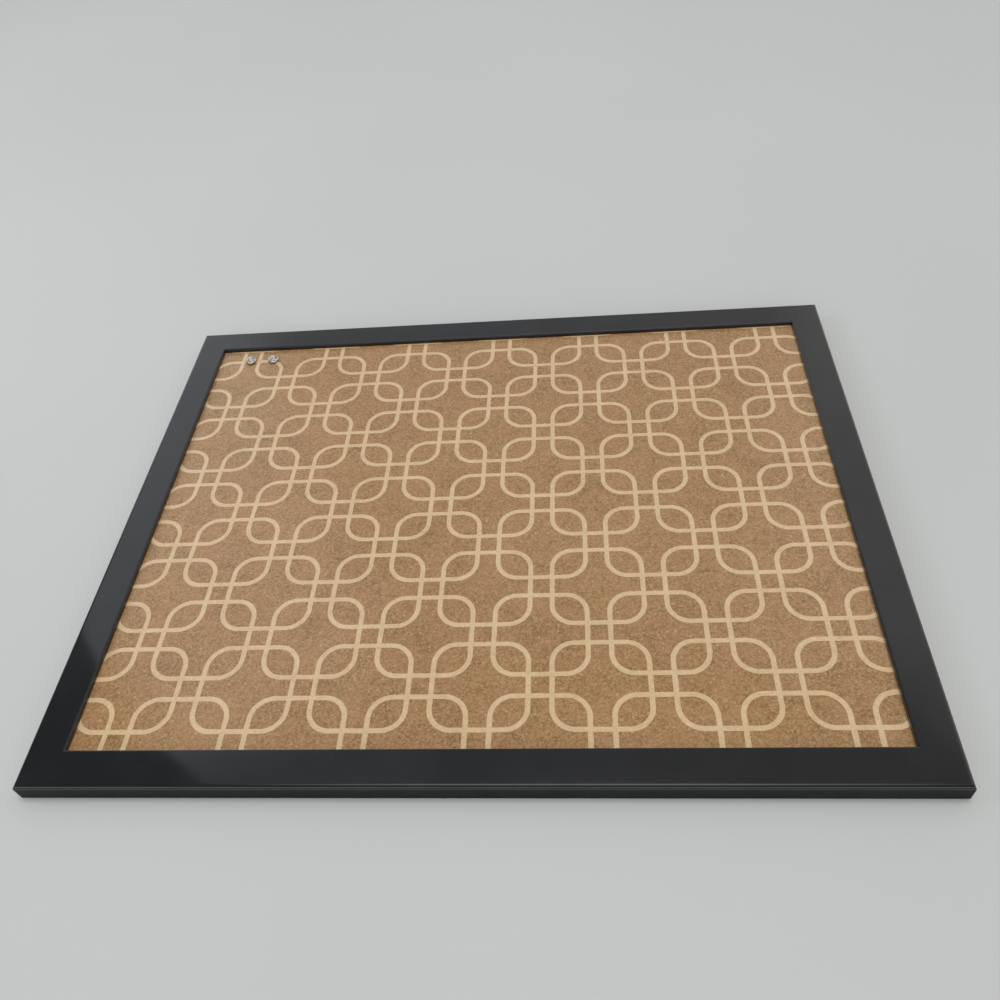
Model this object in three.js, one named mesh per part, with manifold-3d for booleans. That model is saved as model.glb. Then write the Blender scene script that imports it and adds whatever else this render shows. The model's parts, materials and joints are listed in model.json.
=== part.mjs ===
// Framed cork pin board with two button tacks, lying on its back.
// Millimetres. The origin is the middle of the back, +Z leaves the cork face and
// +Y points to the edge that hangs uppermost.

import * as THREE from 'three';
import { mergeVertices } from 'three/addons/utils/BufferGeometryUtils.js';
import Module from 'manifold-3d';

const wasm = await Module();
wasm.setup();

// Clearances and cutting
const fitClearance = 0.3; // space round a piece that sits in a cut
const overrun = 5; // how far a cutter passes the face it enters by

// Frame moulding
const sightWidth = 457.2; // cork that shows, left to right
const sightHeight = 355.6; // cork that shows, bottom to top
const faceWidth = 22.2; // moulding, seen from the front
const frameThickness = 12.7;
const lipOverlap = 6; // lip that covers the edge of the cork
const corkRecess = 3.5; // cork below the front of the frame
const faceEdgeRadius = 1.2;
const backEdgeRadius = 0.4;
const mitreGap = 0.2; // glue line between two mouldings

// Panel inside the frame
const panelClearance = 1; // space between panel and rabbet wall
const corkThickness = 2;
const coreThickness = 5.2;

// Corner nails, folded strips that straddle each mitre
const cornerNailShares = [0.3, 0.68]; // across the solid back of the moulding
const cornerNailLeg = 6;
const cornerNailHeight = 7;
const cornerNailGauge = 0.5;
const cornerNailSink = 0.3; // below the back of the frame

// Retaining points, driven into the rabbet wall behind the panel
const longSidePoints = 3;
const shortSidePoints = 2;
const pointWidth = 6;
const pointBite = 7.5; // length inside the moulding
const pointReach = 8; // length over the panel
const pointTaper = 3.5; // length of the sharpened end
const pointGauge = 0.5;

// Keyhole hangers in the back of the top rail
const hangerInset = 47.6; // from the side of the frame to the keyhole
const plateLength = 36;
const plateWidth = 14;
const plateGauge = 1;
const plateCornerRadius = 2;
const keyholeRadius = 3.8; // lets the head of the wall screw in
const keyholeSlotWidth = 4; // takes the shank of the wall screw
const keyholeRise = 4.5; // from the round hole up to the end of the slot
const pocketRadius = 4.2; // hollow behind the keyhole
const pocketDepth = 6; // from the back of the frame
const hangerScrewInset = 5; // from the end of the plate

// Countersunk screws that hold the hangers
const screwHeadRadius = 2.6;
const screwHeadDepth = 1.3;
const screwShankRadius = 1.3;
const screwLength = 9;
const screwTipLength = 1.5;
const screwSink = 0.2;
const crossLength = 3.2;
const crossWidth = 0.7;
const crossDepth = 0.8;

// Button tacks
const tackFromSide = 25.1; // first tack, from the left edge of the cork that shows
const tackFromTop = 13; // both tacks, from its top edge
const tackSpacing = 18.7;
const tackTurns = [Math.PI / 4, -Math.PI / 14];
const tackNames = ['left', 'right'];
const tackRadius = 4.5;
const tackRimRadius = 0.85; // half the height of the rolled rim
const tackDishThickness = 1;
const tackHoleRadius = 0.75;
const tackHolePitch = 2.8; // side of the square of four holes
const flangeRadius = 3.5;
const flangeThickness = 0.4;
const shankRadius = 0.5;
const shankLength = 6.5;
const shankTipLength = 1.6;

// Steps of the rounded shapes
const edgeSteps = 2;
const outlineSteps = 8;
const tackSteps = 48;
const rimSteps = 10;
const holeSteps = 20;
const shankSteps = 12;
const screwSteps = 24;

// Sizes that follow from the ones above
const outerWidth = sightWidth + 2 * faceWidth;
const outerHeight = sightHeight + 2 * faceWidth;
const backWidth = faceWidth - lipOverlap;
const lipUnderside = frameThickness - corkRecess;
const panelWidth = sightWidth + 2 * (lipOverlap - panelClearance);
const panelHeight = sightHeight + 2 * (lipOverlap - panelClearance);
const corkBottom = lipUnderside - corkThickness;
const coreBottom = corkBottom - coreThickness;
const flangeBottom = lipUnderside + fitClearance;
const boreRadius = shankRadius + fitClearance;
const hangerLine = outerHeight / 2 - backWidth / 2;
const hangerAcross = outerWidth / 2 - hangerInset;
const hangerScrewAcross = plateLength / 2 - hangerScrewInset;

// Finishes
const finishes = {
  blackWrap: { color: 0x2b2c2e, roughness: 0.38, metalness: 0 },
  cork: { color: 0xa5825f, roughness: 0.85, metalness: 0 },
  softboard: { color: 0x9c8a70, roughness: 0.95, metalness: 0 },
  zincSteel: { color: 0xb4b6b8, roughness: 0.35, metalness: 1 },
  nickel: { color: 0xcfc9bf, roughness: 0.18, metalness: 1 },
};

const board = new THREE.Group();

// Closed solid of a three.js geometry
function solidOf(geometry) {
  const bare = geometry.clone();
  bare.deleteAttribute('normal');
  bare.deleteAttribute('uv');
  const merged = mergeVertices(bare);
  const corners = merged.getIndex().array;
  const kept = [];
  for (let i = 0; i < corners.length; i += 3) {
    const [a, b, c] = [corners[i], corners[i + 1], corners[i + 2]];
    if (a !== b && b !== c && c !== a) kept.push(a, b, c);
  }
  return new wasm.Manifold(new wasm.Mesh({
    numProp: 3,
    vertProperties: Float32Array.from(merged.getAttribute('position').array),
    triVerts: Uint32Array.from(kept),
  }));
}

// Solid with every cutter taken away
function cutFrom(geometry, cutters) {
  return cutters.reduce((solid, cutter) => solid.subtract(solidOf(cutter)), solidOf(geometry));
}

// three.js geometry of a solid
function geometryOf(solid) {
  const mesh = solid.getMesh();
  const geometry = new THREE.BufferGeometry();
  geometry.setAttribute('position', new THREE.BufferAttribute(mesh.vertProperties, 3));
  geometry.setIndex(new THREE.BufferAttribute(mesh.triVerts, 1));
  geometry.computeVertexNormals();
  return geometry;
}

// Named mesh with a finish of its own
function piece(name, solid, finish, parent) {
  const mesh = new THREE.Mesh(geometryOf(solid), new THREE.MeshStandardMaterial(finish));
  mesh.name = name;
  parent.add(mesh);
  return mesh;
}

function boxBetween(low, high) {
  const size = high.map((value, axis) => value - low[axis]);
  const middle = high.map((value, axis) => (value + low[axis]) / 2);
  return new THREE.BoxGeometry(...size).translate(...middle);
}

// Plate of an outline in X and Y, from one height to another
function slab(outline, bottom, top, steps) {
  const settings = { depth: top - bottom, bevelEnabled: false, curveSegments: steps };
  return new THREE.ExtrudeGeometry(outline, settings).translate(0, 0, bottom);
}

// Solid of revolution about Z from points of radius and height, listed upwards
function turned(profile, steps) {
  const points = profile.map(([radius, height]) => new THREE.Vector2(radius, height));
  return new THREE.LatheGeometry(points, steps).rotateX(Math.PI / 2);
}

// Post about Z
function post(radius, bottom, top, steps) {
  return turned([[0, bottom], [radius, bottom], [radius, top], [0, top]], steps);
}

// Section of the moulding: distance in from the outer edge, then height
function mouldingSection() {
  const section = new THREE.Shape();
  const quarter = Math.PI / 2;
  const shoulder = frameThickness - faceEdgeRadius;
  section.moveTo(backEdgeRadius, 0);
  section.lineTo(backWidth, 0);
  section.lineTo(backWidth, lipUnderside);
  section.lineTo(faceWidth, lipUnderside);
  section.lineTo(faceWidth, shoulder);
  section.absarc(faceWidth - faceEdgeRadius, shoulder, faceEdgeRadius, 0, quarter);
  section.lineTo(faceEdgeRadius, frameThickness);
  section.absarc(faceEdgeRadius, shoulder, faceEdgeRadius, quarter, 2 * quarter);
  section.lineTo(0, backEdgeRadius);
  section.absarc(backEdgeRadius, backEdgeRadius, backEdgeRadius, 2 * quarter, 3 * quarter);
  return section;
}

// Moulding along X with both ends mitred, its outer edge on Y = 0
function mouldingBar(length) {
  const geometry = slab(mouldingSection(), 0, length, edgeSteps);
  const places = geometry.getAttribute('position');
  const inset = mitreGap / Math.SQRT2;
  for (let i = 0; i < places.count; i += 1) {
    const [across, height, along] = [places.getX(i), places.getY(i), places.getZ(i)];
    const start = along < length / 2;
    places.setXYZ(i, start ? across + inset : length - across - inset, across, height);
  }
  return geometry;
}

// Slots for the corner nails at both ends of a moulding
function cornerNailSlots(length) {
  const halfSlot = cornerNailGauge / 2 + fitClearance;
  const depth = cornerNailSink + cornerNailHeight + fitClearance;
  return cornerNailShares.flatMap((share) => {
    const apex = share * backWidth;
    const [near, far] = [apex - halfSlot, apex + cornerNailLeg + fitClearance];
    return [[near, far], [length - far, length - near]].map(([from, to]) =>
      boxBetween([from, apex - halfSlot, -overrun], [to, apex + halfSlot, depth]));
  });
}

// Places of the retaining points along a moulding
function pointPlaces(length, count) {
  return Array.from({ length: count }, (unused, i) => (i + 0.5) * length / count);
}

// Slots for the retaining points in the rabbet wall
function pointSlots(length, count) {
  const halfSlot = pointWidth / 2 + fitClearance;
  const low = coreBottom - pointGauge - fitClearance;
  const high = coreBottom + fitClearance;
  const deepest = backWidth - pointBite - fitClearance;
  return pointPlaces(length, count).map((place) =>
    boxBetween([place - halfSlot, deepest, low], [place + halfSlot, backWidth + overrun, high]));
}

// Screw that points up from the back of the frame, or its hole with a clearance
function screwForm(clearance) {
  const head = screwHeadRadius + clearance;
  const shank = screwShankRadius + clearance;
  const end = screwSink + screwLength + clearance;
  const mouth = clearance > 0 ? -overrun : screwSink;
  return turned([
    [0, mouth], [head, mouth], [head, screwSink], [shank, screwSink + screwHeadDepth],
    [shank, end - screwTipLength], [0, end],
  ], screwSteps);
}

// Rounded outline of the hanger plate, grown all round
function plateOutline(growth) {
  const [x, y] = [plateLength / 2 + growth, plateWidth / 2 + growth];
  const radius = plateCornerRadius + growth;
  const quarter = Math.PI / 2;
  const outline = new THREE.Shape();
  outline.moveTo(radius - x, -y);
  outline.absarc(x - radius, radius - y, radius, -quarter, 0);
  outline.absarc(x - radius, y - radius, radius, 0, quarter);
  outline.absarc(radius - x, y - radius, radius, quarter, 2 * quarter);
  outline.absarc(radius - x, radius - y, radius, 2 * quarter, 3 * quarter);
  return outline;
}

// Keyhole: a round hole low on the plate with a slot that rises from it
function keyholeOutline() {
  const half = keyholeSlotWidth / 2;
  const spread = Math.asin(half / keyholeRadius);
  const [low, high] = [-keyholeRise / 2, keyholeRise / 2];
  const outline = new THREE.Path();
  outline.moveTo(half, low + keyholeRadius * Math.cos(spread));
  outline.lineTo(half, high);
  outline.absarc(0, high, half, 0, Math.PI);
  outline.lineTo(-half, low + keyholeRadius * Math.cos(spread));
  outline.absarc(0, low, keyholeRadius, Math.PI / 2 + spread, Math.PI * 5 / 2 - spread);
  return outline;
}

// Hollow that the head of the wall screw slides up in
function pocketOutline() {
  const [low, high] = [-keyholeRise / 2, keyholeRise / 2];
  const outline = new THREE.Shape();
  outline.moveTo(pocketRadius, low);
  outline.absarc(0, high, pocketRadius, 0, Math.PI);
  outline.absarc(0, low, pocketRadius, Math.PI, 2 * Math.PI);
  return outline;
}

// Everything that one hanger cuts out of its rail, about the middle of the plate
function hangerCutters() {
  const recess = slab(plateOutline(fitClearance), -overrun, plateGauge + fitClearance, edgeSteps);
  const pocket = slab(pocketOutline(), -overrun, pocketDepth, outlineSteps);
  const screws = [-1, 1].map((side) =>
    screwForm(fitClearance).translate(side * hangerScrewAcross, 0, 0));
  return [recess, pocket, ...screws];
}

// The four mouldings, each in a group whose X runs along it and whose Y points inwards
const sides = [
  { name: 'bottom', kind: 'rail', length: outerWidth, points: longSidePoints, turn: 0, corner: [-1, -1] },
  { name: 'right', kind: 'stile', length: outerHeight, points: shortSidePoints, turn: 1, corner: [1, -1] },
  { name: 'top', kind: 'rail', length: outerWidth, points: longSidePoints, turn: 2, corner: [1, 1] },
  { name: 'left', kind: 'stile', length: outerHeight, points: shortSidePoints, turn: 3, corner: [-1, 1] },
];
const cornerNames = ['bottom_left', 'bottom_right', 'top_right', 'top_left'];

function addSide({ name, kind, length, points, turn, corner }) {
  const side = new THREE.Group();
  side.position.set(corner[0] * outerWidth / 2, corner[1] * outerHeight / 2, 0);
  side.rotation.z = turn * Math.PI / 2;
  board.add(side);

  const cutters = [...cornerNailSlots(length), ...pointSlots(length, points)];
  if (name === 'top') {
    for (const place of [hangerInset, length - hangerInset]) {
      cutters.push(...hangerCutters().map((cutter) =>
        cutter.rotateZ(Math.PI).translate(place, backWidth / 2, 0)));
    }
  }
  piece(`frame_${kind}_${name}`, cutFrom(mouldingBar(length), cutters), finishes.blackWrap, side);
  addCornerNails(cornerNames[turn], side);
  addRetainingPoints(name, length, points, side);
}

// Two nails at the corner where a side starts
function addCornerNails(cornerName, side) {
  const half = cornerNailGauge / 2;
  const outline = new THREE.Shape([
    [-half, -half], [cornerNailLeg, -half], [cornerNailLeg, half],
    [half, half], [half, cornerNailLeg], [-half, cornerNailLeg],
  ].map(([x, y]) => new THREE.Vector2(x, y)));
  const solid = solidOf(slab(outline, cornerNailSink, cornerNailSink + cornerNailHeight, edgeSteps));
  cornerNailShares.forEach((share, i) => {
    const nail = piece(`corner_nail_${cornerName}_${i + 1}`, solid, finishes.zincSteel, side);
    nail.position.set(share * backWidth, share * backWidth, 0);
  });
}

// Flat points against the back of the core
function addRetainingPoints(sideName, length, count, side) {
  const half = pointWidth / 2;
  const outline = new THREE.Shape([
    [-half, pointReach], [-half, pointTaper - pointBite], [0, -pointBite],
    [half, pointTaper - pointBite], [half, pointReach],
  ].map(([x, y]) => new THREE.Vector2(x, y)));
  const solid = solidOf(slab(outline, coreBottom - pointGauge, coreBottom, edgeSteps));
  pointPlaces(length, count).forEach((place, i) => {
    const point = piece(`retaining_point_${sideName}_${i + 1}`, solid, finishes.zincSteel, side);
    point.position.set(place, backWidth, 0);
  });
}

// Middle of each tack, seen from the front
function tackPlaces() {
  return tackNames.map((name, i) => [
    tackFromSide + i * tackSpacing - sightWidth / 2, sightHeight / 2 - tackFromTop,
  ]);
}

// Cork and the softboard that it is glued to, with the holes that the tacks have made
function addPanel() {
  const [x, y] = [panelWidth / 2, panelHeight / 2];
  const boreBottom = flangeBottom - shankLength - fitClearance;
  const bores = () => tackPlaces().map(([across, up]) =>
    post(boreRadius, boreBottom, lipUnderside + overrun, shankSteps).translate(across, up, 0));
  const cork = boxBetween([-x, -y, corkBottom], [x, y, lipUnderside]);
  const core = boxBetween([-x, -y, coreBottom], [x, y, corkBottom]);
  piece('cork_sheet', cutFrom(cork, bores()), finishes.cork, board);
  piece('softboard_core', cutFrom(core, bores()), finishes.softboard, board);
}

// Steel plate with a keyhole, and its two screws, let into the top rail
function addHanger(name, across) {
  const hanger = new THREE.Group();
  hanger.position.set(across, hangerLine, 0);
  board.add(hanger);

  const outline = plateOutline(0);
  outline.holes.push(keyholeOutline());
  const screwHoles = [-1, 1].map((side) =>
    screwForm(fitClearance).translate(side * hangerScrewAcross, 0, 0));
  const plate = cutFrom(slab(outline, 0, plateGauge, outlineSteps), screwHoles);
  piece(`hanger_plate_${name}`, plate, finishes.zincSteel, hanger);

  const [reach, half] = [crossLength / 2, crossWidth / 2];
  const [low, high] = [screwSink - overrun, screwSink + crossDepth];
  const screw = cutFrom(screwForm(0), [
    boxBetween([-reach, -half, low], [reach, half, high]),
    boxBetween([-half, -reach, low], [half, reach, high]),
  ]);
  [-1, 1].forEach((side, i) => {
    const mesh = piece(`hanger_screw_${name}_${i + 1}`, screw, finishes.zincSteel, hanger);
    mesh.position.x = side * hangerScrewAcross;
  });
}

// Dished head with a rolled rim and four holes, like a coat button
function tackHead() {
  const rimCentre = tackRadius - tackRimRadius;
  const meeting = Math.asin((tackDishThickness - tackRimRadius) / tackRimRadius);
  const sweep = Math.PI * 3 / 2 - meeting;
  const rim = Array.from({ length: rimSteps + 1 }, (unused, i) => {
    const angle = -Math.PI / 2 + sweep * i / rimSteps;
    return [
      rimCentre + tackRimRadius * Math.cos(angle),
      tackRimRadius + tackRimRadius * Math.sin(angle),
    ];
  });
  const head = turned([[0, 0], ...rim, [0, tackDishThickness]], tackSteps);
  const offsets = [-tackHolePitch / 2, tackHolePitch / 2];
  const holes = offsets.flatMap((x) => offsets.map((y) =>
    post(tackHoleRadius, -overrun, overrun, holeSteps).translate(x, y, 0)));
  return cutFrom(head, holes);
}

// Pin with the flange that its head is glued to
function tackPin() {
  return solidOf(turned([
    [0, -shankLength], [shankRadius, shankTipLength - shankLength], [shankRadius, 0],
    [flangeRadius, 0], [flangeRadius, flangeThickness], [0, flangeThickness],
  ], shankSteps * 2));
}

function addTacks() {
  tackPlaces().forEach(([across, up], i) => {
    const tack = new THREE.Group();
    tack.position.set(across, up, flangeBottom);
    tack.rotation.z = tackTurns[i];
    board.add(tack);
    piece(`tack_pin_${tackNames[i]}`, tackPin(), finishes.zincSteel, tack);
    const head = piece(`tack_head_${tackNames[i]}`, tackHead(), finishes.nickel, tack);
    head.position.z = flangeThickness;
  });
}

sides.forEach(addSide);
addPanel();
addHanger('left', -hangerAcross);
addHanger('right', hangerAcross);
addTacks();

export default board;
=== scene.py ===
import json
import math

import bmesh
import bpy
from mathutils import Matrix, Vector


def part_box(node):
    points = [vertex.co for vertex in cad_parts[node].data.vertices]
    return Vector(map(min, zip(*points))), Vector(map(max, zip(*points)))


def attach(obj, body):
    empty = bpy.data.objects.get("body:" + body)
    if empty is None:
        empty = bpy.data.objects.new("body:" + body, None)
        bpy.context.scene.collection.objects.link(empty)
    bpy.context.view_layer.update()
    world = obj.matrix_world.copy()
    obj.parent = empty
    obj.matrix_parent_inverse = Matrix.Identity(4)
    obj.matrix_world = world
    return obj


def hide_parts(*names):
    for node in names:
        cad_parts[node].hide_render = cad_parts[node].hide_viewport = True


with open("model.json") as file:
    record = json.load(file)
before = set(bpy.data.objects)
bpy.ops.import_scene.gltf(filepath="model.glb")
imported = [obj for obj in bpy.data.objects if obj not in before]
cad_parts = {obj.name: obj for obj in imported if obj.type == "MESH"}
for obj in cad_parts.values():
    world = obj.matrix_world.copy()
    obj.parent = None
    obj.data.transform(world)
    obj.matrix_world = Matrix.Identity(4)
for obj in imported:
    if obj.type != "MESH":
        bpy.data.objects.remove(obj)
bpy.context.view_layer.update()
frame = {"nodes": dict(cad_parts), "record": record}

MM = 0.001
SAME_PLACE = 1e-6  # m, within which two points or heights are one
SIDES = ("left", "right")

# Which body each solid has
BODY_OF = {
    node: body
    for body, nodes in frame["record"]["behaviour"]["bodies"].items()
    for node in nodes
}

# Camera
FOCAL_SHARE = 0.882  # focal length over the width of the picture
SENSOR_WIDTH = 36  # mm
CAMERA_PLACE = Vector((64.5, -394.0, 445.3)) * MM
CAMERA_TARGET = Vector((6.2, 11.6, 0)) * MM
CAMERA_ROLL = math.radians(-7.85)

# Board, from the solids
OUTER_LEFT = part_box("frame_stile_left")[0].x
OUTER_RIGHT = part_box("frame_stile_right")[1].x
OUTER_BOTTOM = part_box("frame_rail_bottom")[0].y
OUTER_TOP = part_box("frame_rail_top")[1].y
FRAME_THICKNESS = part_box("frame_rail_bottom")[1].z
FACE_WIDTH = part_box("frame_rail_bottom")[1].y - OUTER_BOTTOM
CORK_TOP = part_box("cork_sheet")[1].z

# Moulding. A rounded edge has a radius and a number of steps
LIP_OVERLAP = 6 * MM
BACK_WIDTH = FACE_WIDTH - LIP_OVERLAP
FACE_EDGE = (2.4 * MM, 7)
INNER_EDGE = (1 * MM, 4)
LIP_EDGE = (0.25 * MM, 2)
BACK_EDGE = (0.4 * MM, 3)
MITRE_GAP = 0.01 * MM
WRAP_FOLD = 5 * MM  # black wrap turned over onto the back
WRAP_GAUGE = 0.15 * MM  # how far the wrap stands out there
GLOSS_UNDER_FACE = (2.6, 2)  # mm below the face, from dull to glossy
GLOSS_INWARDS = (2, 4)  # mm in from the outer side, from dull to glossy
WRAPPED, BARE = 0, 1  # finishes of a moulding's faces, by index

# Cuts
OVERRUN = 5 * MM  # how far a cutter passes the face it enters by
PRESS_GAP = 0.03 * MM  # between driven steel and the wood round it
NAIL_MOUTH = 0.5 * MM  # end of a nail's cutter that is drawn out of the back
FULL_ROUND = 0.999  # share of half a plate's width that its corners may take

# Keyhole hangers
PLATE_CORNER_RADIUS = 2 * MM
PLATE_CORNER_STEPS = 8
RECESS_GAP = 0.25 * MM  # round the plate and its screws
KEYHOLE_RADIUS = 3.8 * MM
KEYHOLE_STEPS = 48
KEYHOLE_RISE = 4.5 * MM  # from the middle of the round hole to that of the slot's end
SLOT_WIDTH = 4 * MM
SLOT_CORNER_STEPS = 12
POCKET_RADIUS = 4.2 * MM  # hollow behind the keyhole
POCKET_CORNER_STEPS = 14
POCKET_DEPTH = 6 * MM
PLATE_EDGE = 0.12 * MM  # width of softened edges
NAIL_EDGE = 0.06 * MM

# Screws
SCREW_STEPS = 42  # no multiple of 4, so the steps miss the edges that are cut into the head
SCREW_HOLE_STEPS = 40  # in the plate
SCREW_PILOT_STEPS = 32  # in the wood
SCREW_HEAD_RADIUS = 2.6 * MM
SCREW_HEAD_DEPTH = 1.3 * MM
SCREW_HEAD_EDGE = (0.1 * MM, 0.08 * MM)  # slope round the head, inwards and along the screw
SCREW_SHANK_RADIUS = 1.3 * MM
SCREW_CORE_RADIUS = 0.95 * MM
SCREW_LENGTH = 9 * MM
SCREW_SINK = 0.2 * MM
SCREW_PITCH = 1.1 * MM
THREAD_PLACES = (0.5, 0.9, 0.98, 1.38)  # pitches past the head: root, the crest's ends, root
CROSS_LENGTH = 3.2 * MM
CROSS_WIDTH = 0.7 * MM
CROSS_DEPTH = 0.8 * MM
CROSS_FLOOR = 0.55  # size of the cutter's end in the head, as a share of its other end
CROSS_TURNS = {"left_1": 20, "left_2": 65, "right_1": 40, "right_2": -12}  # degrees

# Tacks
TACK_TURNS = {"left": 45, "right": -12.9}  # degrees
TACK_STEPS = 70  # no multiple of 4, as for the screws
TACK_RADIUS = 4.5 * MM
TACK_RIM_RADIUS = 0.85 * MM
TACK_RIM_STEPS = 20
TACK_DISH = 1 * MM
TACK_FILLET = 0.3 * MM
TACK_FILLET_STEPS = 5
TACK_HOLE_RADIUS = 0.75 * MM
TACK_HOLE_STEPS = 32
TACK_HOLE_PITCH = 2.8 * MM
TACK_HOLE_EDGE = 0.12 * MM
FLANGE_THICKNESS = 0.4 * MM
FLANGE_EDGE = FLANGE_THICKNESS / 4
FLANGE_EDGE_STEPS = 3
STEEL, HOLE_SHADE = 0, 1  # finishes of a pin's faces, by index: steel, and dark painted shade on the flange's top
PIN_STEPS = 40
PIN_RADIUS = 0.5 * MM
PIN_NECK = 0.2 * MM  # cone under the flange
PIN_POINT = 1.6 * MM
PIN_POINT_SHAPE = ((0.12, 0.05), (0.9, 0.85))  # parts of the pin's radius and the point's length
PIN_HOLE_RADIUS = 0.56 * MM
PIN_HOLE_STEPS = 24

# Room, as shares of white
WALLS = {"back": 0.50, "right": 0.77, "left": 0.95}
CEILING = 0.26
CEILING_LEFT = 0.38
DIM_SIDE = 0.08
FRONT_WINDOW = 1.5
OVERHEAD = 2.2
COOL_TINT = (0.93, 0.98, 1.05, 1)
WARM_TINT = (1.03, 1.0, 0.95, 1)

# Where the room's parts meet, by a unit direction's parts across, back and up. A corner is a
# ratio of across to back
RIGHT_CORNER = 0.27
LEFT_CORNER = -0.46
CORNER_BLEND = (-0.03, 0.05)
DIM_CORNER = -1.07
DIM_CORNER_BLEND = (-0.003, 0.003)
DIM_FRONT = (0, 0.25)
CEILING_FROM = (0.79, 0.86)
OVERHEAD_FROM = (0.9, 0.99)
WINDOW_FROM = (-0.5, -0.62)
WINDOW_SILL = (0.1, 0.16)
WINDOW_HEAD = (0.56, 0.48)
WARM_FROM = (-0.6, 0.5)

# Lamps: size and place in metres, power in watts, colour
LAMPS = {
    "ceiling_panel": ((2.8, 2.8), (0.5, 0, 5), 105, (1, 0.99, 0.97)),
    "window": ((0.9, 0.6), (-1.6, 0.1, 0.95), 7, (0.9, 0.96, 1)),
}

# Table
TABLE_RADIUS = 12  # m
TABLE_STEPS = 96

# Print on the cork: rounded squares in two lattices, half a step apart
PRINT_STEPS = (34.2, 34.36)  # mm, from one lattice to the other, across and up
PRINT_CENTRE = (70.1, -138.0)  # mm, middle of one square
PRINT_HALF = 27.5  # mm, from the middle of a square to the middle of its line
PRINT_CORNER = 13.1  # mm
PRINT_WIDTH = 3  # mm
PRINT_EDGE = 0.12  # mm, how far the ink fades on each side of its edge
PRINT_DEPTH = (0.3, 0.2)  # mm under the cork's top, from no ink to full ink


def srgb(red, green, blue):
    """Linear colour of an sRGB one that is given from 0 to 255, with its alpha."""
    def linear(value):
        share = value / 255
        return share / 12.92 if share <= 0.04045 else ((share + 0.055) / 1.055) ** 2.4
    return (linear(red), linear(green), linear(blue), 1)


class Signal:
    """One output of a finish's nodes. Arithmetic on it adds Math nodes."""

    def __init__(self, finish, socket):
        self.finish = finish
        self.socket = socket

    def math(self, operation, *values):
        return self.finish.node("Math", {"operation": operation}, list(values))

    def __add__(self, other):
        return self.math("ADD", self, other)

    def __radd__(self, other):
        return self.math("ADD", other, self)

    def __sub__(self, other):
        return self.math("SUBTRACT", self, other)

    def __rsub__(self, other):
        return self.math("SUBTRACT", other, self)

    def __mul__(self, other):
        return self.math("MULTIPLY", self, other)

    def __rmul__(self, other):
        return self.math("MULTIPLY", other, self)

    def __truediv__(self, other):
        return self.math("DIVIDE", self, other)

    def __abs__(self):
        return self.math("ABSOLUTE", self)

    def at_least(self, other):
        return self.math("MAXIMUM", self, other)

    def at_most(self, other):
        return self.math("MINIMUM", self, other)

    def root(self):
        return self.math("SQRT", self)

    def pingpong(self, length):
        return self.math("PINGPONG", self, length)

    def between(self, low, high):
        """Smooth rise from 0 at low to 1 at high, or a fall where low is the larger."""
        settings = {"interpolation_type": "SMOOTHSTEP"}
        if low < high:
            return self.finish.node("MapRange", settings, {0: self, 1: low, 2: high})
        return 1 - self.finish.node("MapRange", settings, {0: self, 1: high, 2: low})


def set_stops(ramp, stops):
    """Gives a colour ramp its pairs of position and colour. It has two elements from the start."""
    for position, _ in stops[2:]:
        ramp.elements.new(position)
    for element, (position, colour) in zip(ramp.elements, stops):
        element.position = position
        element.color = colour


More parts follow.
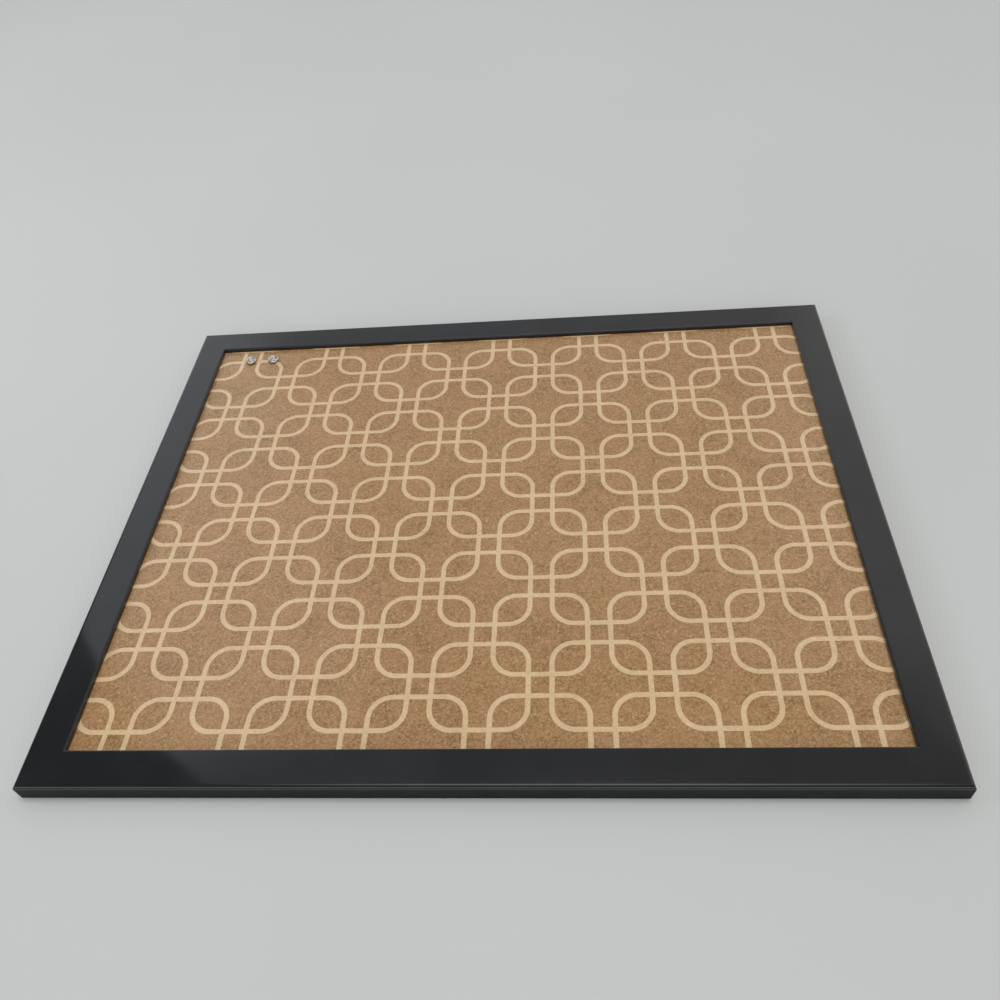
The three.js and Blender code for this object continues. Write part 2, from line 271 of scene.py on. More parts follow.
class Finish:
    """The nodes of one material, or of the world."""

    def __init__(self, owner):
        self.owner = owner
        owner.use_nodes = True
        self.tree = owner.node_tree
        self.tree.nodes.clear()

    def node(self, kind, settings=None, inputs=(), output=0):
        """A node of a kind, its settings made first, with values or links in its sockets."""
        made = self.tree.nodes.new("ShaderNode" + kind)
        for name, value in (settings or {}).items():
            if name == "stops":
                set_stops(made.color_ramp, value)
            else:
                setattr(made, name, value)
        pairs = inputs.items() if isinstance(inputs, dict) else enumerate(inputs)
        for key, value in pairs:
            self.feed(made.inputs[key], value)
        return Signal(self, made.outputs[output]) if made.outputs else None

    def feed(self, socket, value):
        if isinstance(value, Signal):
            self.tree.links.new(value.socket, socket)
        else:
            socket.default_value = value

    def ramp(self, value, stops):
        """Colour of a value, from pairs of position and colour, lowest first."""
        return self.node("ValToRGB", {"stops": stops}, [value])

    def mix(self, share, first, second):
        """Colour from first to second. Sockets 6 and 7 are the Mix node's colours."""
        inputs = {0: share, 6: first, 7: second}
        return self.node("Mix", {"data_type": "RGBA"}, inputs, output=2)

    def places(self):
        """Object coordinates in millimetres."""
        here = self.node("TexCoord", output=3)
        return self.node("VectorMath", {"operation": "SCALE"}, {0: here, 3: 1 / MM})

    def axes(self, places):
        return [self.node("SeparateXYZ", inputs=[places], output=axis) for axis in range(3)]

    def stretched(self, places, scale, turn=0):
        """Coordinates turned about Z by degrees, then scaled along X, Y and Z."""
        turned = self.node("Mapping", inputs={0: places, 2: (0, 0, math.radians(turn))})
        return self.node("Mapping", inputs={0: turned, 3: scale})

    def noise(self, places, scale, detail, roughness=0.5):
        """Noise from 0 to 1. Its scale is waves per millimetre."""
        inputs = {"Vector": places, "Scale": scale, "Detail": detail, "Roughness": roughness}
        return self.node("TexNoise", inputs=inputs)

    def cells(self, places, scale):
        """Random value of each Voronoi cell. The scale is cells per millimetre."""
        inputs = {"Vector": places, "Scale": scale}
        colour = self.node("TexVoronoi", inputs=inputs, output="Color")
        return self.node("SeparateColor", inputs=[colour])

    def cell_middles(self, places, scale):
        """Distance from the middle of each Voronoi cell."""
        inputs = {"Vector": places, "Scale": scale}
        return self.node("TexVoronoi", inputs=inputs, output="Distance")

    def bump(self, height, depth, strength):
        """Normal of a height from 0 to 1 that stands for a depth in metres."""
        inputs = {"Strength": strength, "Distance": depth, "Height": height}
        return self.node("Bump", inputs=inputs)

    def shade(self, **sockets):
        """The surface, from the Principled shader's sockets by name, with _ for a space."""
        inputs = {name.replace("_", " "): value for name, value in sockets.items()}
        surface = self.node("BsdfPrincipled", inputs=inputs)
        self.node("OutputMaterial", inputs={"Surface": surface})


def finish_named(name):
    return Finish(bpy.data.materials.new(name))


# Finishes

def black_wrap():
    """Black film round the mouldings: glossy on the face and the lip, dull on the outer sides."""
    finish = finish_named("black_wrap")
    places = finish.places()
    clouds = finish.noise(places, 0.03, 3)
    haze = finish.noise(places, 0.4, 4, 0.6)
    pebbles = finish.noise(places, 3.5, 2, 0.6)
    waves = finish.noise(places, 0.12, 2)
    across, up, height = finish.axes(places)
    under_face = FRAME_THICKNESS / MM - height
    inwards = (OUTER_RIGHT / MM - abs(across)).at_most(OUTER_TOP / MM - abs(up))
    glossy = under_face.between(*GLOSS_UNDER_FACE).at_least(inwards.between(*GLOSS_INWARDS))
    finish.shade(
        Base_Color=finish.mix(clouds.between(0.35, 0.65), srgb(22, 23, 25), srgb(27, 28, 30)),
        Roughness=0.42 + 0.1 * haze,
        Specular_IOR_Level=0.12,
        Coat_Weight=(0.86 + 0.16 * haze) * glossy,
        Coat_Roughness=0.06,
        Normal=finish.bump(0.75 * pebbles + waves, 0.03 * MM, 0.35),
    )
    return finish.owner


def bare_fibreboard():
    """Raw wood-based board where the wrap doesn't reach."""
    finish = finish_named("bare_fibreboard")
    places = finish.places()
    felt = finish.noise(finish.stretched(places, (1, 0.35, 1), 30), 2.2, 4, 0.65)
    cross = finish.noise(finish.stretched(places, (1, 0.35, 1), -50), 2.6, 4, 0.65)
    clouds = finish.noise(places, 0.05, 3)
    tone = (0.5 * felt + 0.5 * cross) * 0.75 + 0.25 * clouds
    base = finish.ramp(tone, [
        (0.3, srgb(126, 98, 70)),
        (0.5, srgb(160, 130, 97)),
        (0.7, srgb(187, 160, 126)),
    ])
    finish.shade(
        Base_Color=base,
        Roughness=0.92 - 0.08 * felt,
        Normal=finish.bump(0.5 * felt + 0.5 * cross, 0.15 * MM, 0.6),
    )
    return finish.owner


def printed_line(finish, places):
    """1 on the printed lines and 0 between them, with a slightly ragged edge."""
    across, up, _ = finish.axes(places)
    folded = [
        (place - middle).pingpong(step)
        for place, middle, step in zip((across, up), PRINT_CENTRE, PRINT_STEPS)
    ]
    other = [step - fold for step, fold in zip(PRINT_STEPS, folded)]
    ragged = 0.35 * (finish.noise(places, 2.2, 2) - 0.5)
    ragged = ragged + 0.16 * (finish.noise(places, 0.25, 2) - 0.5)

    def off_the_line(offsets):
        """Distance from the line round a rounded square, from the offsets from its middle."""
        straight = PRINT_HALF - PRINT_CORNER
        x, y = [offset - straight for offset in offsets]
        out_x, out_y = x.at_least(0), y.at_least(0)
        rounded = (out_x * out_x + out_y * out_y).root()
        inside = x.at_least(y).at_most(0)
        return abs(rounded + inside - PRINT_CORNER)

    nearest = off_the_line(folded).at_most(off_the_line(other))
    return (nearest + ragged).between(PRINT_WIDTH / 2 + PRINT_EDGE, PRINT_WIDTH / 2 - PRINT_EDGE)


def printed_cork():
    """Fine pressed cork with a pale lattice printed on its top, under a thin clear lacquer."""
    finish = finish_named("printed_cork")
    places = finish.places()
    wander = finish.noise(places, 1.2, 2)
    shifted = finish.node("VectorMath", {"operation": "ADD"}, {0: places, 1: wander})
    fine = finish.cells(shifted, 1.0)
    grit = finish.noise(places, 1.9, 3, 0.75)
    dust = finish.noise(places, 0.5, 3, 0.6)
    mottle = finish.noise(places, 0.07, 3, 0.6)
    clouds = finish.noise(places, 0.016, 2)
    tone = 0.1 + 0.18 * fine + 0.34 * grit + 0.09 * dust + 0.12 * mottle + 0.07 * clouds
    base = finish.ramp(tone, [
        (0.34, srgb(112, 80, 46)),
        (0.44, srgb(140, 106, 67)),
        (0.52, srgb(158, 123, 81)),
        (0.64, srgb(180, 146, 104)),
    ])
    base = finish.mix(0.3 * mottle.between(0.36, 0.64), base, srgb(161, 118, 84))
    bark = finish.cells(shifted, 0.5).between(0.955, 0.965)
    bark = bark * finish.cell_middles(shifted, 0.5).between(0.5, 0.25)
    chips = finish.cells(shifted, 0.62).between(0.06, 0.05)
    chips = chips * finish.cell_middles(shifted, 0.62).between(0.55, 0.3)
    base = finish.mix(0.3 * bark, base, srgb(96, 70, 48))
    base = finish.mix(0.35 * chips, base, srgb(205, 178, 142))
    _, _, height = finish.axes(places)
    on_top = (CORK_TOP / MM - height).between(*PRINT_DEPTH)
    ink = printed_line(finish, places) * on_top
    cover = ink * (0.96 - 0.3 * grit.between(0.45, 0.3))
    ink_colour = finish.ramp(0.55 * grit + 0.25 * dust + 0.2 * mottle, [
        (0.36, srgb(188, 157, 116)),
        (0.5, srgb(206, 178, 139)),
        (0.64, srgb(217, 192, 155)),
    ])
    base = finish.mix(cover, base, ink_colour)
    finish.shade(
        Base_Color=base,
        Roughness=0.7 - 0.08 * cover + 0.1 * grit,
        Specular_IOR_Level=0.3,
        Coat_Weight=1.0,
        Coat_Roughness=0.14,
        Normal=finish.bump(0.3 * fine + 0.55 * grit + 0.15 * cover, 0.07 * MM, 0.5),
    )
    return finish.owner


def softboard_back():
    """Felted fibres of the core."""
    finish = finish_named("softboard_back")
    places = finish.places()
    layers = [
        finish.noise(finish.stretched(places, (1, 0.16, 1), turn), 1.6, 4, 0.62)
        for turn in (12, 74, 131)
    ]
    felt = (layers[0] + layers[1] + layers[2]) / 3
    clouds = finish.noise(places, 0.02, 3)
    specks = finish.cells(places, 0.55).between(0.965, 0.975)
    specks = specks * finish.cell_middles(places, 0.55).between(0.42, 0.22)
    base = finish.ramp(0.8 * felt + 0.2 * clouds, [
        (0.34, srgb(118, 96, 68)),
        (0.5, srgb(152, 130, 98)),
        (0.64, srgb(178, 158, 126)),
    ])
    base = finish.mix(0.6 * specks, base, srgb(80, 60, 40))
    finish.shade(
        Base_Color=base,
        Roughness=0.96 - 0.06 * felt,
        Normal=finish.bump(felt, 0.3 * MM, 0.7),
    )
    return finish.owner


def zinc_plate():
    """Zinc-plated steel with faint rolling marks."""
    finish = finish_named("zinc_plate")
    places = finish.places()
    rolled = finish.noise(finish.stretched(places, (0.05, 1, 1)), 9, 3, 0.6)
    bloom = finish.noise(places, 0.35, 3, 0.6)
    spangle = finish.cells(places, 0.9)
    base = finish.ramp(0.6 * bloom + 0.25 * spangle + 0.15 * rolled, [
        (0.3, srgb(168, 171, 173)),
        (0.7, srgb(202, 203, 201)),
    ])
    finish.shade(
        Base_Color=base,
        Metallic=1.0,
        Roughness=0.27 + 0.16 * bloom + 0.06 * rolled,
        Normal=finish.bump(rolled, 0.02 * MM, 0.4),
    )
    return finish.owner


def polished_nickel():
    """Warm bright nickel of the tack heads."""
    finish = finish_named("polished_nickel")
    places = finish.places()
    smear = finish.noise(places, 0.7, 3, 0.6)
    scratches = finish.noise(finish.stretched(places, (0.08, 1, 1), 35), 12, 2, 0.5)
    base = finish.mix(smear.between(0.35, 0.65), srgb(222, 214, 202), srgb(236, 229, 218))
    finish.shade(
        Base_Color=base,
        Metallic=1.0,
        Roughness=0.27 + 0.12 * smear + 0.05 * scratches,
        Normal=finish.bump(scratches, 0.005 * MM, 0.3),
    )
    return finish.owner


def painted_hole_shade():
    """Dark colour painted on the flange's top as the shade seen through a tack's holes."""
    finish = finish_named("painted_hole_shade")
    shade_blotches = finish.noise(finish.places(), 1.5, 3, 0.6)
    finish.shade(
        # Painted shade: dark colour that stands in for the shadow inside the head's holes
        Base_Color=finish.mix(shade_blotches, srgb(24, 21, 18), srgb(44, 38, 32)),
        Roughness=0.45 + 0.2 * shade_blotches,
        Normal=finish.bump(shade_blotches, 0.1 * MM, 0.6),
    )
    return finish.owner


def table_finish():
    """Matt table, very faintly clouded."""
    finish = finish_named("pale_table")
    places = finish.places()
    clouds = finish.noise(places, 0.002, 2)
    base = finish.mix(clouds.between(0.3, 0.7), srgb(189, 191, 190), srgb(192, 194, 193))
    finish.shade(Base_Color=base, Roughness=0.85)
    return finish.owner


# Mesh helpers

def box_mesh(low, high):
    """bmesh of a box between two corners."""
    bm = bmesh.new()
    low, high = Vector(low), Vector(high)
    bmesh.ops.create_cube(bm, size=1)
    bmesh.ops.scale(bm, vec=high - low, verts=bm.verts)
    bmesh.ops.translate(bm, vec=(low + high) / 2, verts=bm.verts)
    return bm


def upright_edges(bm):
    """Edges that run along Z."""
    return [
        edge for edge in bm.edges
        if (edge.verts[0].co - edge.verts[1].co).to_2d().length < SAME_PLACE
    ]


def rounded_edges(bm, edges, radius, steps):
    bmesh.ops.bevel(
        bm, geom=edges, offset=radius, offset_type="OFFSET", segments=steps,
        profile=0.5, affect="EDGES", material=-1, clamp_overlap=True,
    )


def rounded_plate(width, height, radius, bottom, top, steps):
    """bmesh of a plate about Z whose four upright edges are rounded."""
    bm = box_mesh((-width / 2, -height / 2, bottom), (width / 2, height / 2, top))
    rounded_edges(bm, upright_edges(bm), radius, steps)
    bmesh.ops.remove_doubles(bm, verts=bm.verts, dist=SAME_PLACE)
    return bm


def post_mesh(radius, bottom, top, steps, top_radius=None):
    """bmesh of a round post or cone about Z."""
    bm = bmesh.new()
    bmesh.ops.create_cone(
        bm, cap_ends=True, cap_tris=False, segments=steps, radius1=radius,
        radius2=radius if top_radius is None else top_radius, depth=top - bottom,
    )
    bmesh.ops.translate(bm, vec=(0, 0, (top + bottom) / 2), verts=bm.verts)
    return bm


def turned(profile, steps):
    """bmesh of a solid of revolution about Z from points of radius and height."""
    bm = bmesh.new()
    points = [bm.verts.new((radius, 0, height)) for radius, height in profile]
    lines = [bm.edges.new(pair) for pair in zip(points, points[1:])]
    bmesh.ops.spin(
        bm, geom=points + lines, cent=(0, 0, 0), axis=(0, 0, 1), dvec=(0, 0, 0),
        angle=2 * math.pi, steps=steps, use_merge=True,
    )
    bmesh.ops.remove_doubles(bm, verts=bm.verts, dist=SAME_PLACE)
    bmesh.ops.recalc_face_normals(bm, faces=bm.faces)
    return bm


def arc(radius, middle, start, end, steps):
    """Points of radius and height on an arc, from one angle in degrees to another."""
    angles = [math.radians(start + (end - start) * i / steps) for i in range(steps + 1)]
    return [
        (middle[0] + radius * math.cos(angle), middle[1] + radius * math.sin(angle))
        for angle in angles
    ]


def merged_copy(node):
    """bmesh of a solid's mesh with its loose triangles joined into flat faces."""
    bm = bmesh.new()
    bm.from_mesh(frame["nodes"][node].data)
    bmesh.ops.remove_doubles(bm, verts=bm.verts, dist=SAME_PLACE)
    bmesh.ops.dissolve_limit(
        bm, angle_limit=math.radians(1), verts=bm.verts, edges=bm.edges,
    )
    return bm


def moved(bm, place):
    bmesh.ops.transform(bm, matrix=place, verts=bm.verts)
    return bm


def upright_line(node):
    """Shift from the origin to the upright line through a solid's middle."""
    low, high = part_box(node)
    middle = (low + high) / 2
    return Matrix.Translation((middle.x, middle.y, 0))


def turned_by(degrees):
    return Matrix.Rotation(math.radians(degrees), 4, "Z")


def as_object(name, bm, *materials):
    """Object at the origin that holds the bmesh."""
    mesh = bpy.data.meshes.new(name)
    bm.to_mesh(mesh)
    bm.free()
    for material in materials:
        mesh.materials.append(material)
    made = bpy.data.objects.new(name, mesh)
    bpy.context.scene.collection.objects.link(made)
    return made


def carve(piece, cutters, material_index=0):
    """Cuts bmeshes out of a piece. The faces of a cut get the material of that index."""
    knives = []
    for bm in cutters:
        for face in bm.faces:
            face.material_index = material_index
        knife = as_object("cutter", bm, *piece.data.materials)
        cut = piece.modifiers.new("cut", "BOOLEAN")
        cut.operation = "DIFFERENCE"
        cut.solver = "EXACT"
        cut.object = knife
        knives.append(knife)
    graph = bpy.context.evaluated_depsgraph_get()
    mesh = bpy.data.meshes.new_from_object(piece.evaluated_get(graph))
    piece.modifiers.clear()
    piece.data = mesh
    for knife in knives:
        bpy.data.objects.remove(knife)


def dress(piece, node, sharp=35, edge=None):
    """Shades a piece, softens its edges and lets it stand for its solid."""
    mesh = piece.data
    mesh.shade_smooth()
    mesh.set_sharp_from_angle(angle=math.radians(sharp))
    if edge:
        softened = piece.modifiers.new("softened edges", "BEVEL")
        softened.width = edge
        softened.segments = 2
        softened.limit_method = "ANGLE"
        softened.angle_limit = math.radians(sharp)
    even = piece.modifiers.new("even shading", "WEIGHTED_NORMAL")
    even.keep_sharp = True
    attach(piece, BODY_OF[node])
    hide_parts(node)


# Frame

def moulding_blank(length):
    """Bar along X with its outer edge on Y = 0, its back on Z = 0 and both ends mitred."""
    section = [
        (0, 0), (WRAP_FOLD, 0), (WRAP_FOLD, WRAP_GAUGE), (BACK_WIDTH, WRAP_GAUGE),
        (BACK_WIDTH, CORK_TOP), (FACE_WIDTH, CORK_TOP),
        (FACE_WIDTH, FRAME_THICKNESS), (0, FRAME_THICKNESS),
    ]
    bm = bmesh.new()
    start = bm.faces.new([bm.verts.new((0, across, up)) for across, up in section])
    swept = bmesh.ops.extrude_face_region(bm, geom=[start], use_keep_orig=True)
    far = [part for part in swept["geom"] if isinstance(part, bmesh.types.BMVert)]
    near = [vert for vert in bm.verts if vert not in far]
    slant = Matrix.Identity(4)
    slant[0][1] = 1
    slant[0][3] = MITRE_GAP
    bmesh.ops.transform(bm, matrix=slant, verts=near)
    slant[0][1] = -1
    slant[0][3] = length - MITRE_GAP
    bmesh.ops.transform(bm, matrix=slant, verts=far)
    bmesh.ops.recalc_face_normals(bm, faces=bm.faces)
    for face in bm.faces:
        middle = face.calc_center_median()
        end = abs(face.normal.x) > 0.5
        rabbet = abs(middle.y - BACK_WIDTH) < SAME_PLACE
        back = face.normal.z < -0.5 and abs(middle.z - WRAP_GAUGE) < SAME_PLACE
        face.material_index = BARE if end or rabbet or back else WRAPPED
    rounded = {
        (0, FRAME_THICKNESS): FACE_EDGE,
        (FACE_WIDTH, FRAME_THICKNESS): INNER_EDGE,
        (FACE_WIDTH, CORK_TOP): LIP_EDGE,
        (0, 0): BACK_EDGE,
    }
    for corner, (radius, steps) in rounded.items():
        edges = [
            edge for edge in bm.edges
            if all((vert.co.yz - Vector(corner)).length < SAME_PLACE for vert in edge.verts)
        ]
        rounded_edges(bm, edges, radius, steps)
    return bm


def driven_steel(node, out_of_the_back):
    """Cutter for a flat steel piece that is driven into the wood."""
    bm = merged_copy(node)
    for vert in bm.verts:
        vert.co += vert.normal * PRESS_GAP
    if out_of_the_back:
        lowest = min(vert.co.z for vert in bm.verts)
        mouth = [vert for vert in bm.verts if vert.co.z < lowest + NAIL_MOUTH]
        bmesh.ops.translate(bm, vec=(0, 0, -OVERRUN), verts=mouth)
    return bm


def hanger_plate(side):
    """Size of a hanger's plate and the upright line through it."""
    node = "hanger_plate_" + side
    low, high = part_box(node)
    return high - low, upright_line(node)


def hanger_screws(side):
    return ["hanger_screw_" + key for key in CROSS_TURNS if key.startswith(side)]


def hanger_cutters(side):
    """Recess for the plate, hollow behind its keyhole and holes for its screws."""
    size, place = hanger_plate(side)
    recess = rounded_plate(
        size.x + 2 * RECESS_GAP, size.y + 2 * RECESS_GAP, PLATE_CORNER_RADIUS,
        -OVERRUN, size.z + RECESS_GAP, PLATE_CORNER_STEPS,
    )
    hollow = rounded_plate(
        2 * POCKET_RADIUS, 2 * POCKET_RADIUS + KEYHOLE_RISE, POCKET_RADIUS * FULL_ROUND,
        -OVERRUN, POCKET_DEPTH, POCKET_CORNER_STEPS,
    )
    cutters = [moved(recess, place), moved(hollow, place)]
    for screw in hanger_screws(side):
        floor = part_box(screw)[1].z + PRESS_GAP
        hole = post_mesh(SCREW_SHANK_RADIUS + PRESS_GAP, -OVERRUN, floor, SCREW_PILOT_STEPS)
        cutters.append(moved(hole, upright_line(screw)))
    return cutters


def make_frame(wrap, bare):
    """Four mouldings, anticlockwise from the bottom, each with its cuts."""
    width, height = OUTER_RIGHT - OUTER_LEFT, OUTER_TOP - OUTER_BOTTOM
    mouldings = [
        ("rail_bottom", width, 0, (OUTER_LEFT, OUTER_BOTTOM)),
        ("stile_right", height, 90, (OUTER_RIGHT, OUTER_BOTTOM)),
        ("rail_top", width, 180, (OUTER_RIGHT, OUTER_TOP)),
        ("stile_left", height, 270, (OUTER_LEFT, OUTER_TOP)),
    ]
    for name, length, turn, corner in mouldings:
        side = name.split("_")[1]
        place = Matrix.Translation((*corner, 0)) @ turned_by(turn)
        piece = as_object("wrapped_" + name, moved(moulding_blank(length), place), wrap, bare)
        nails = [node for node in BODY_OF if node.startswith("corner_nail") and side in node]
        points = [node for node in BODY_OF if node.startswith("retaining_point_" + side)]
        cutters = [driven_steel(node, True) for node in nails]
        cutters += [driven_steel(node, False) for node in points]
        if side == "top":
            cutters += hanger_cutters("left") + hanger_cutters("right")
        carve(piece, cutters, material_index=BARE)
        dress(piece, "frame_" + name)


# Panel

def make_panel(cork, softboard):
    """Cork sheet and its core, with the holes that the tacks made."""
    for name, node, finish in [
        ("printed_sheet", "cork_sheet", cork),
        ("core_board", "softboard_core", softboard),
    ]:
        piece = as_object(name, box_mesh(*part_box(node)), finish)
        holes = []
        for side in SIDES:
            pin = "tack_pin_" + side
            low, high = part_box(pin)
            hole = post_mesh(PIN_HOLE_RADIUS, low.z - PRESS_GAP, high.z, PIN_HOLE_STEPS)
            holes.append(moved(hole, upright_line(pin)))
        carve(piece, holes)
        dress(piece, node)


# Steel behind the frame

def make_driven_steel(zinc):
    """Corner nails and the points that hold the panel."""
    for node in BODY_OF:
        if node.startswith(("corner_nail", "retaining_point")):
            name = node.replace("corner_nail", "mitre_nail").replace("retaining", "panel")
            dress(as_object(name, merged_copy(node), zinc), node, edge=NAIL_EDGE)


def keyhole_plate(side, zinc):
    """Hanger plate with its keyhole and two countersunk holes."""
    size, place = hanger_plate(side)
    blank = rounded_plate(
        size.x, size.y, PLATE_CORNER_RADIUS, 0, size.z, PLATE_CORNER_STEPS,
    )
    plate = as_object("keyhole_plate_" + side, moved(blank, place), zinc)
    drop = Matrix.Translation((0, -KEYHOLE_RISE / 2, 0))
    mouth = post_mesh(KEYHOLE_RADIUS, -OVERRUN, OVERRUN, KEYHOLE_STEPS)
    slot = rounded_plate(
        SLOT_WIDTH, SLOT_WIDTH + KEYHOLE_RISE, SLOT_WIDTH / 2 * FULL_ROUND,
        -OVERRUN, OVERRUN, SLOT_CORNER_STEPS,
    )
    cutters = [moved(mouth, place @ drop), moved(slot, place)]
    sunk = Matrix.Translation((0, 0, -PRESS_GAP))
    hole_radius = SCREW_SHANK_RADIUS + RECESS_GAP
    for screw in hanger_screws(side):
        sink = post_mesh(
            SCREW_HEAD_RADIUS + RECESS_GAP + SCREW_SINK, 0, size.z + RECESS_GAP,
            SCREW_HOLE_STEPS, hole_radius,
        )
        through = post_mesh(hole_radius, -OVERRUN, OVERRUN, SCREW_HOLE_STEPS)
        there = upright_line(screw)
        cutters += [moved(sink, there @ sunk), moved(through, there)]
    carve(plate, cutters)
    dress(plate, "hanger_plate_" + side, edge=PLATE_EDGE)


def cross_cutter():
    """bmesh of the cross in a screw's head, narrower at its floor."""
    long, thin = CROSS_LENGTH / 2, CROSS_WIDTH / 2
    arm = [(long, -thin), (long, thin), (thin, thin)]
    outline = []
    for _ in range(4):
        outline += arm
        arm = [(-y, x) for x, y in arm]
    bm = bmesh.new()
    mouth = bm.faces.new([bm.verts.new((x, y, SCREW_SINK - OVERRUN)) for x, y in outline])
    swept = bmesh.ops.extrude_face_region(bm, geom=[mouth], use_keep_orig=True)
    floor = [part for part in swept["geom"] if isinstance(part, bmesh.types.BMVert)]
    bmesh.ops.translate(bm, vec=(0, 0, OVERRUN + CROSS_DEPTH), verts=floor)
    bmesh.ops.scale(bm, vec=(CROSS_FLOOR, CROSS_FLOOR, 1), verts=floor)
    bmesh.ops.recalc_face_normals(bm, faces=bm.faces)
    return bm


def plate_screw(key, zinc):
    """Countersunk cross-head screw that points up from the back."""
    node = "hanger_screw_" + key
    head = SCREW_SINK + SCREW_HEAD_DEPTH
    tip = SCREW_SINK + SCREW_LENGTH
    ridges = int((tip - head - SCREW_PITCH) / SCREW_PITCH)
    radii = (SCREW_CORE_RADIUS, SCREW_SHANK_RADIUS, SCREW_SHANK_RADIUS, SCREW_CORE_RADIUS)
    thread = [
        (radius, head + (ridge + place) * SCREW_PITCH)
        for ridge in range(ridges)
        for radius, place in zip(radii, THREAD_PLACES)
    ]
    inwards, along = SCREW_HEAD_EDGE
    profile = [
        (0, SCREW_SINK), (SCREW_HEAD_RADIUS - inwards, SCREW_SINK),
        (SCREW_HEAD_RADIUS, SCREW_SINK + along),
        (SCREW_CORE_RADIUS, head), *thread, (0, tip),
    ]
    screw = as_object("plate_screw_" + key, turned(profile, SCREW_STEPS), zinc)
    carve(screw, [cross_cutter()])
    screw.data.transform(upright_line(node) @ turned_by(CROSS_TURNS[key]))
    dress(screw, node, sharp=30)


# Tacks

def tack_place(side):
    """Shift and turn that take a tack's pieces from the origin to its pin."""
    return upright_line("tack_pin_" + side) @ turned_by(TACK_TURNS[side])


def button_head(side, nickel):
    """Dished head with a rolled rim and four holes, like a coat button."""
    rim = (TACK_RADIUS - TACK_RIM_RADIUS, TACK_RIM_RADIUS)
    reach = TACK_RIM_RADIUS + TACK_FILLET
    fillet_height = TACK_DISH + TACK_FILLET
    slope = math.asin((fillet_height - rim[1]) / reach)
    fillet = (rim[0] - reach * math.cos(slope), fillet_height)
    profile = [
        (0, 0),
        *arc(TACK_RIM_RADIUS, rim, -90, 180 - math.degrees(slope), TACK_RIM_STEPS),
        *arc(TACK_FILLET, fillet, -math.degrees(slope), -90, TACK_FILLET_STEPS)[1:],
        (0, TACK_DISH),
    ]
    head = as_object("button_head_" + side, turned(profile, TACK_STEPS), nickel)
    holes = []
    for x in (-TACK_HOLE_PITCH / 2, TACK_HOLE_PITCH / 2):
        for y in (-TACK_HOLE_PITCH / 2, TACK_HOLE_PITCH / 2):
            hole = post_mesh(TACK_HOLE_RADIUS, -OVERRUN, OVERRUN, TACK_HOLE_STEPS)
            holes.append(moved(hole, Matrix.Translation((x, y, 0))))
    carve(head, holes)
    node = "tack_head_" + side
    lift = Matrix.Translation((0, 0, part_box(node)[0].z))
    head.data.transform(lift @ tack_place(side))
    dress(head, node, edge=TACK_HOLE_EDGE)


def tack_pin(side, zinc, hole_shade):
    """Steel pin with the flange that the head is glued to, its top painted dark as shade for the
    head's holes.
    """
    node = "tack_pin_" + side
    low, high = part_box(node)
    top, under = high.z, high.z - FLANGE_THICKNESS
    reach = (high.x - low.x) / 2 - FLANGE_EDGE
    profile = [
        (0, low.z),
        *[(radius * PIN_RADIUS, low.z + up * PIN_POINT) for radius, up in PIN_POINT_SHAPE],
        (PIN_RADIUS, low.z + PIN_POINT),
        (PIN_RADIUS, under - PIN_NECK), (PIN_RADIUS + PIN_NECK, under),
        *arc(FLANGE_EDGE, (reach, under + FLANGE_EDGE), -90, 0, FLANGE_EDGE_STEPS),
        *arc(FLANGE_EDGE, (reach, top - FLANGE_EDGE), 0, 90, FLANGE_EDGE_STEPS),
        (0, top),
    ]
    bm = moved(turned(profile, PIN_STEPS), tack_place(side))
    # The flange's top gets the dark painted shade that shows through the head's holes
    for face in bm.faces:
        on_top = face.calc_center_median().z > top - SAME_PLACE
        face.material_index = HOLE_SHADE if on_top else STEEL
    dress(as_object("tack_pin_steel_" + side, bm, zinc, hole_shade), node)


# Table, light and camera

def make_table():
    """Table top that the board lies on."""
    bm = bmesh.new()
    bmesh.ops.create_circle(bm, cap_ends=True, segments=TABLE_STEPS, radius=TABLE_RADIUS)
    table = as_object("table_top", bm, table_finish())


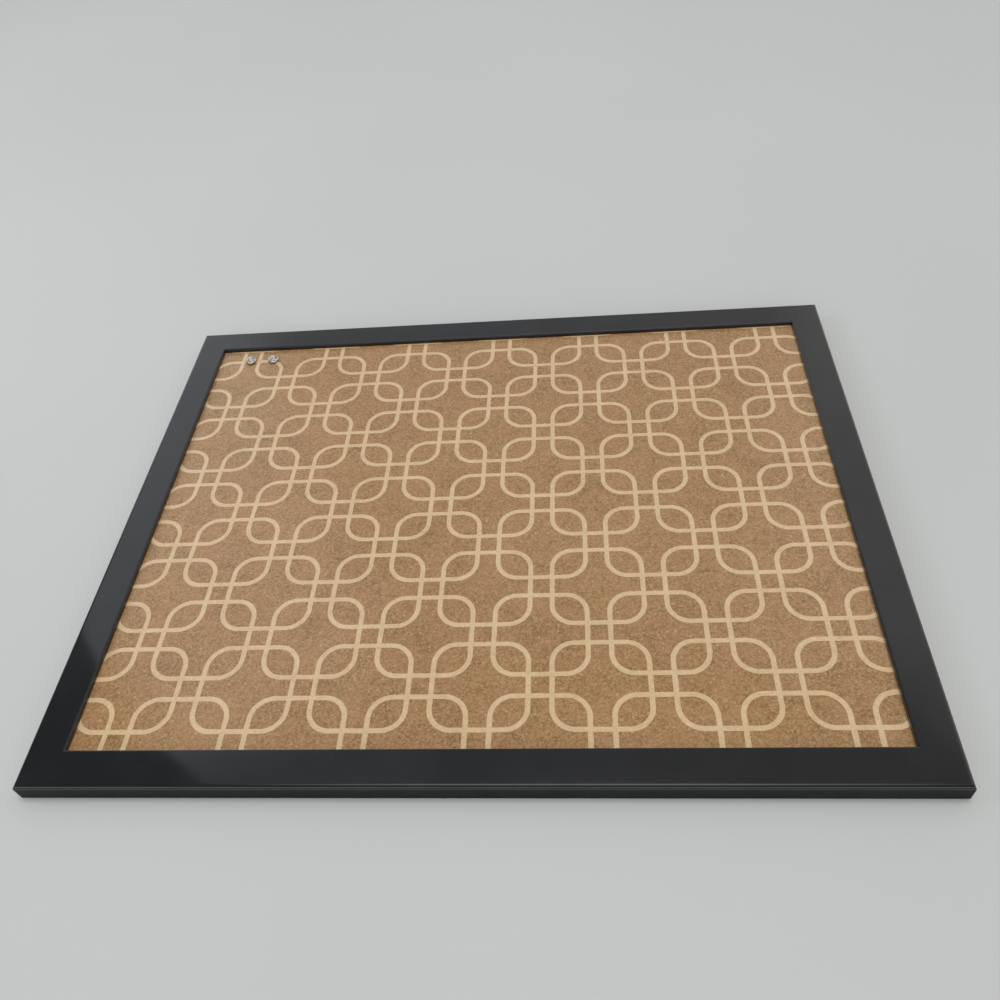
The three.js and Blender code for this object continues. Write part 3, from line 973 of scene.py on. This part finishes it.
def make_sky():
    """Pale room: three walls behind the board, a dim ceiling that glows overhead, dim sides in
    front and a low window between them."""
    world = bpy.data.worlds.new("room")
    bpy.context.scene.world = world
    finish = Finish(world)
    across, back, up = finish.axes(finish.node("TexCoord", output=0))
    right = (across - RIGHT_CORNER * back).between(*CORNER_BLEND)
    left = 1 - (across - LEFT_CORNER * back).between(*CORNER_BLEND)
    walls = WALLS["back"] + (WALLS["right"] - WALLS["back"]) * right
    walls = walls + (WALLS["left"] - WALLS["back"]) * left
    ceiling = CEILING + (CEILING_LEFT - CEILING) * left
    behind = walls + (ceiling - walls) * up.between(*CEILING_FROM)
    lit = (across - DIM_CORNER * back).between(*DIM_CORNER_BLEND) * back.between(*DIM_FRONT)
    window = back.between(*WINDOW_FROM) * up.between(*WINDOW_SILL) * up.between(*WINDOW_HEAD)
    level = DIM_SIDE + (behind - DIM_SIDE) * lit + (FRONT_WINDOW - DIM_SIDE) * window
    level = level + OVERHEAD * up.between(*OVERHEAD_FROM)
    colour = finish.mix(across.between(*WARM_FROM), COOL_TINT, WARM_TINT)
    light = finish.node("Background", inputs={"Color": colour, "Strength": level})
    finish.node("OutputWorld", inputs={"Surface": light})


def lamp(name, size, place, power, colour):
    """Soft lamp that faces the board and doesn't show as a bright patch in gloss."""
    data = bpy.data.lights.new(name, "AREA")
    data.shape = "RECTANGLE"
    data.size, data.size_y = size
    data.energy = power
    data.color = colour
    made = bpy.data.objects.new(name, data)
    made.location = place
    made.rotation_mode = "QUATERNION"
    made.rotation_quaternion = (-Vector(place)).to_track_quat("-Z", "Y")
    made.visible_glossy = False
    bpy.context.scene.collection.objects.link(made)


def make_camera():
    """Camera with the photograph's view."""
    data = bpy.data.cameras.new("camera")
    data.sensor_width = SENSOR_WIDTH
    data.lens = FOCAL_SHARE * SENSOR_WIDTH
    data.clip_start = 1 * MM
    camera = bpy.data.objects.new("camera", data)
    aim = (CAMERA_TARGET - CAMERA_PLACE).to_track_quat("-Z", "Y").to_matrix().to_4x4()
    roll = Matrix.Rotation(CAMERA_ROLL, 4, "Z")
    camera.matrix_world = Matrix.Translation(CAMERA_PLACE) @ aim @ roll
    bpy.context.scene.collection.objects.link(camera)
    bpy.context.scene.camera = camera


def main():
    bpy.context.scene.view_settings.view_transform = "Standard"
    make_camera()
    make_frame(black_wrap(), bare_fibreboard())
    make_panel(printed_cork(), softboard_back())
    zinc = zinc_plate()
    nickel = polished_nickel()
    # Dark painted shade for the holes of the tack heads
    hole_shade = painted_hole_shade()
    make_driven_steel(zinc)
    for side in SIDES:
        keyhole_plate(side, zinc)
        button_head(side, nickel)
        tack_pin(side, zinc, hole_shade)
    for key in CROSS_TURNS:
        plate_screw(key, zinc)
    make_table()
    make_sky()
    for name, settings in LAMPS.items():
        lamp(name, *settings)


main()
